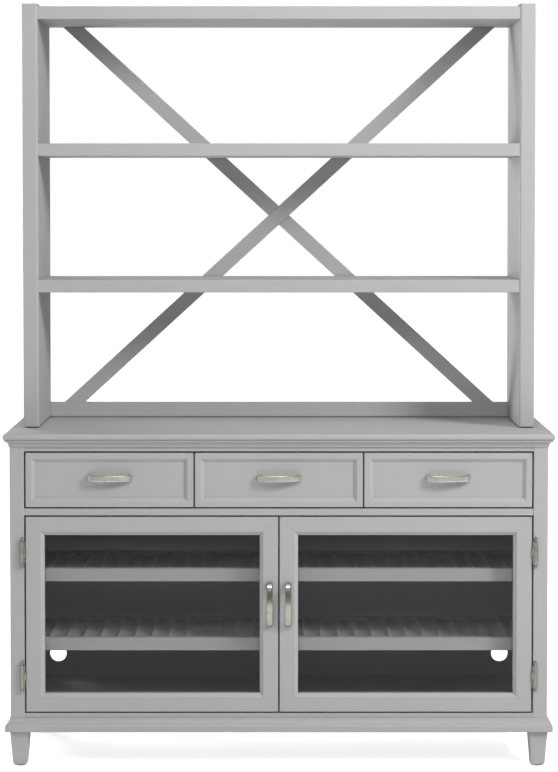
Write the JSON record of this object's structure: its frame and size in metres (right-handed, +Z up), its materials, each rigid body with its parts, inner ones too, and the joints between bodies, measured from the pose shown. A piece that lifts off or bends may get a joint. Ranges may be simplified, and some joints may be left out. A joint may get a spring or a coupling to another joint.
{
  "type": "sideboard with hutch",
  "caption": "Painted sideboard with inset drawers over glazed doors, fluted bottle shelves inside, and an open cross-braced hutch standing on top.",
  "frame": {"origin": "on the floor, under the middle of the sideboard's top panel", "axes": "+X to the right as seen from the front, +Y towards the back, +Z up"},
  "size_m": [1.524, 0.472, 2.126],
  "materials": {
    "grey_paint": "satin grey paint on wood",
    "back_board": "dark painted hardboard",
    "drawer_wood": "clear-lacquered hardwood",
    "runner_wood": "waxed hardwood",
    "satin_nickel": "satin nickel plate",
    "aged_nickel": "aged nickel plate",
    "pin_steel": "nickel-plated steel",
    "plate_steel": "zinc-plated steel",
    "glass": "clear float glass",
    "felt": "pressed felt",
    "glide_plastic": "moulded nylon"
  },
  "bodies": {
    "carcass": {"top_panel": "grey_paint", "top_cove_moulding": "grey_paint", "front_left_post": "grey_paint", "front_right_post": "grey_paint", "back_posts": "grey_paint", "front_top_rail": "grey_paint", "front_mid_rail": "grey_paint", "front_bottom_rail": "grey_paint", "top_back_rail": "grey_paint", "left_side_panel": "grey_paint", "right_side_panel": "grey_paint", "side_rails": "grey_paint", "cupboard_floor": "grey_paint", "drawer_deck": "grey_paint", "centre_partition": "grey_paint", "drawer_dividers": "grey_paint", "base_moulding": "grey_paint", "front_feet": "grey_paint", "back_feet": "grey_paint", "left_upper_bottle_shelf": "grey_paint", "left_lower_bottle_shelf": "grey_paint", "right_upper_bottle_shelf": "grey_paint", "right_lower_bottle_shelf": "grey_paint", "hutch_left_side": "grey_paint", "hutch_right_side": "grey_paint", "hutch_top": "grey_paint", "hutch_upper_shelf": "grey_paint", "hutch_lower_shelf": "grey_paint", "hutch_top_back_rail": "grey_paint", "hutch_bottom_back_rail": "grey_paint", "front_cross_brace": "grey_paint", "rear_cross_brace": "grey_paint", "back_panel": "back_board", "drawer_runners": "runner_wood", "shelf_pins": "pin_steel", "joining_plates": "plate_steel", "hinge_frame_leaves": "aged_nickel", "hinge_pins": "aged_nickel", "foot_glides": "glide_plastic", "hutch_pads": "felt"},
    "left_drawer": {"left_drawer_front": "grey_paint", "left_drawer_box": "drawer_wood", "left_drawer_pull": "satin_nickel"},
    "centre_drawer": {"centre_drawer_front": "grey_paint", "centre_drawer_box": "drawer_wood", "centre_drawer_pull": "satin_nickel"},
    "right_drawer": {"right_drawer_front": "grey_paint", "right_drawer_box": "drawer_wood", "right_drawer_pull": "satin_nickel"},
    "left_door": {"left_door_frame": "grey_paint", "left_door_glass": "glass", "left_door_glass_beads": "grey_paint", "left_door_pull": "satin_nickel", "left_door_hinge_leaves": "aged_nickel"},
    "right_door": {"right_door_frame": "grey_paint", "right_door_glass": "glass", "right_door_glass_beads": "grey_paint", "right_door_pull": "satin_nickel", "right_door_hinge_leaves": "aged_nickel"}
  },
  "joints": [
    {"name": "left_drawer_slide", "type": "slide", "parent": "carcass", "child": "left_drawer", "axis": [0, -1, 0], "range_m": [0, 0.3]},
    {"name": "centre_drawer_slide", "type": "slide", "parent": "carcass", "child": "centre_drawer", "axis": [0, -1, 0], "range_m": [0, 0.3]},
    {"name": "right_drawer_slide", "type": "slide", "parent": "carcass", "child": "right_drawer", "axis": [0, -1, 0], "range_m": [0, 0.3]},
    {"name": "left_door_hinge", "type": "hinge", "parent": "carcass", "child": "left_door", "pos_m": [-0.711, -0.2175, 0.42625], "axis": [0, 0, -1], "range_deg": [0, 170]},
    {"name": "right_door_hinge", "type": "hinge", "parent": "carcass", "child": "right_door", "pos_m": [0.711, -0.2175, 0.42625], "axis": [0, 0, 1], "range_deg": [0, 170]}
  ]
}
